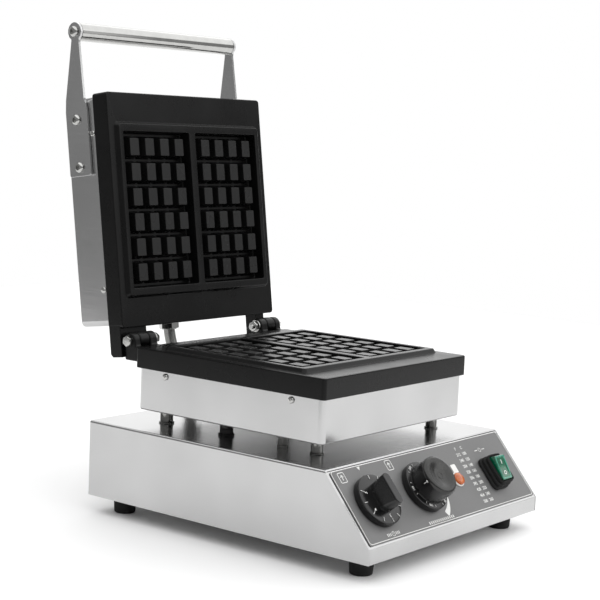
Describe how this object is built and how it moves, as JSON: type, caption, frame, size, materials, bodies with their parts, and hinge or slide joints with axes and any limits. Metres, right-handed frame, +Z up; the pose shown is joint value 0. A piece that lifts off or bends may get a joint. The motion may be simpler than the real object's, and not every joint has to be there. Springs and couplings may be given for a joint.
{
  "type": "waffle maker",
  "caption": "Counter-top commercial waffle maker: hinged cast grid plates in steel housings over a sloped control box, with timer, thermostat, lamp, switch and tube handle; lid open.",
  "frame": {"origin": "on the table, under the middle of the machine's bounding box with the lid open", "axes": "+Z up; the operator and the control panel face -Y; +X to the operator's right; hinge axis along X"},
  "size_m": [0.285, 0.4274, 0.4818],
  "materials": {
    "brushed_stainless_steel": "brushed",
    "polished_stainless_steel": "polished",
    "plated_steel": "dull plated",
    "coated_cast_aluminium": "black non-stick coating",
    "black_phenolic": "satin moulded",
    "black_rubber": "matt",
    "printed_panel_film": "printed satin film",
    "white_nylon": "moulded",
    "amber_polycarbonate": "clear tinted",
    "green_polycarbonate": "clear tinted",
    "steatite": "unglazed ceramic",
    "copper": "drawn"
  },
  "bodies": {
    "base": {"body_shell": "brushed_stainless_steel", "bottom_cover": "brushed_stainless_steel", "control_panel": "brushed_stainless_steel", "foot_front_left": "black_rubber", "foot_front_right": "black_rubber", "foot_rear_left": "black_rubber", "foot_rear_right": "black_rubber", "hinge_bolt_left": "polished_stainless_steel", "hinge_bolt_right": "polished_stainless_steel", "hinge_nut_left": "polished_stainless_steel", "hinge_nut_right": "polished_stainless_steel", "hose_gland_base": "polished_stainless_steel", "indicator_body": "white_nylon", "indicator_lens": "amber_polycarbonate", "lid_hose": "brushed_stainless_steel", "lower_heater": "plated_steel", "lower_heater_strap": "brushed_stainless_steel", "lower_housing": "brushed_stainless_steel", "lower_housing_screw_front_left": "brushed_stainless_steel", "lower_housing_screw_front_right": "brushed_stainless_steel", "lower_housing_screw_rear_left": "brushed_stainless_steel", "lower_housing_screw_rear_right": "brushed_stainless_steel", "lower_plate": "coated_cast_aluminium", "mains_gland": "black_phenolic", "panel_label": "printed_panel_film", "pillar_front_left": "brushed_stainless_steel", "pillar_front_right": "brushed_stainless_steel", "pillar_rear_left": "brushed_stainless_steel", "pillar_rear_right": "brushed_stainless_steel", "rear_panel": "brushed_stainless_steel", "sensor_bulb": "copper", "sensor_conduit": "plated_steel", "switch_body": "black_phenolic", "terminal_block": "steatite", "thermostat": "plated_steel", "timer": "plated_steel", "wiring_conduit": "black_phenolic"},
    "lid": {"arm_screw_lower_left": "polished_stainless_steel", "arm_screw_lower_right": "polished_stainless_steel", "arm_screw_upper_left": "polished_stainless_steel", "arm_screw_upper_right": "polished_stainless_steel", "handle_arm_left": "brushed_stainless_steel", "handle_arm_right": "brushed_stainless_steel", "handle_end_screw_left": "polished_stainless_steel", "handle_end_screw_right": "polished_stainless_steel", "handle_tube": "polished_stainless_steel", "hose_gland_lid": "polished_stainless_steel", "upper_heater": "plated_steel", "upper_heater_strap": "brushed_stainless_steel", "upper_housing": "brushed_stainless_steel", "upper_housing_screw_front_left": "brushed_stainless_steel", "upper_housing_screw_front_right": "brushed_stainless_steel", "upper_housing_screw_rear_left": "brushed_stainless_steel", "upper_housing_screw_rear_right": "brushed_stainless_steel", "upper_plate": "coated_cast_aluminium"},
    "timer_knob": {"timer_knob": "black_phenolic", "timer_shaft": "plated_steel"},
    "temperature_knob": {"temperature_knob": "black_phenolic", "thermostat_shaft": "plated_steel"},
    "power_rocker": {"power_rocker": "green_polycarbonate"}
  },
  "joints": [
    {"name": "lid_hinge", "type": "hinge", "parent": "base", "child": "lid", "pos_m": [0, 0.11491, 0.1712], "axis": [1, 0, 0], "range_deg": [0, 98], "deforming": ["lid_hose"]},
    {"name": "timer_turn", "type": "hinge", "parent": "base", "child": "timer_knob", "pos_m": [-0.1025, -0.18091, 0.06092], "axis": [0, -0.7619, 0.6477], "range_deg": [-300, 0]},
    {"name": "temperature_turn", "type": "hinge", "parent": "base", "child": "temperature_knob", "pos_m": [-0.028, -0.1805, 0.06141], "axis": [0, -0.7619, 0.6477], "range_deg": [-270, 0]},
    {"name": "rocker_tilt", "type": "hinge", "parent": "base", "child": "power_rocker", "pos_m": [0.0913, -0.19289, 0.06536], "axis": [1, 0, 0], "range_deg": [-22, 0]}
  ]
}
